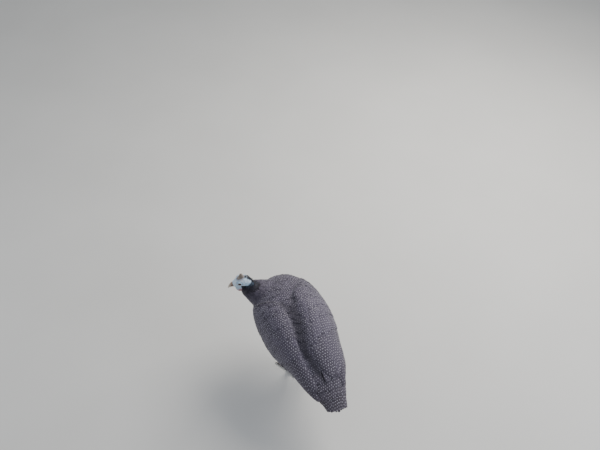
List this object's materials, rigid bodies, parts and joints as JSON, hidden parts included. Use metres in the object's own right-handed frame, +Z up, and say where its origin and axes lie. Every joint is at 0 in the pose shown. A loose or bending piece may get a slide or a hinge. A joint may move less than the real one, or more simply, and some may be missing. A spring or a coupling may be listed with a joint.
{
  "type": "guinea fowl",
  "caption": "Life-size pearl guinea fowl standing with folded wings, a low drooping tail and its head turned to its left, with casque, wattles and bare face.",
  "frame": {"origin": "centre of the bounding box in plan, at floor level under the feet", "axes": "+Y towards the tail, so the bird faces -Y; +X to the bird's left; +Z up"},
  "size_m": [0.2104, 0.3694, 0.3373],
  "materials": {
    "plumage": "soft slate-grey body feathers, densely spotted with small pearl-white dots, matte",
    "wing": "slate-grey flight and covert feathers with rows of white spots and pale bars at the edges, slightly silky",
    "neck": "dark purplish slate feathers, unspotted, matte",
    "skin": "bare pale blue-white skin of the face, finely wrinkled, faintly moist",
    "casque": "dull grey-brown horn of the casque, rough and ridged",
    "bill": "grey-brown horn, rusty at the base and paler at the tip, smooth with a low sheen",
    "wattle": "soft flap of bare skin with fine grain, pale blue at the root and dull red at the rim",
    "eye": "dark brown wet eye, glossy",
    "shank": "grey-brown scaled skin of shanks and toes, dry and matte",
    "claw": "dark horn, worn smooth"
  },
  "bodies": {
    "root": {"torso": "plumage", "neck": "neck", "head": "skin", "bill_upper": "bill", "bill_lower": "bill", "casque": "casque", "eye_left": "eye", "wattle_left": "wattle", "wing_left": "wing", "thigh_left": "plumage", "shank_left": "shank", "foot_left": "shank", "claw_middle_left": "claw", "claw_inner_left": "claw", "claw_outer_left": "claw", "claw_hind_left": "claw", "eye_right": "eye", "wattle_right": "wattle", "wing_right": "wing", "thigh_right": "plumage", "shank_right": "shank", "foot_right": "shank", "claw_middle_right": "claw", "claw_inner_right": "claw", "claw_outer_right": "claw", "claw_hind_right": "claw", "tail": "plumage"}
  },
  "joints": []
}
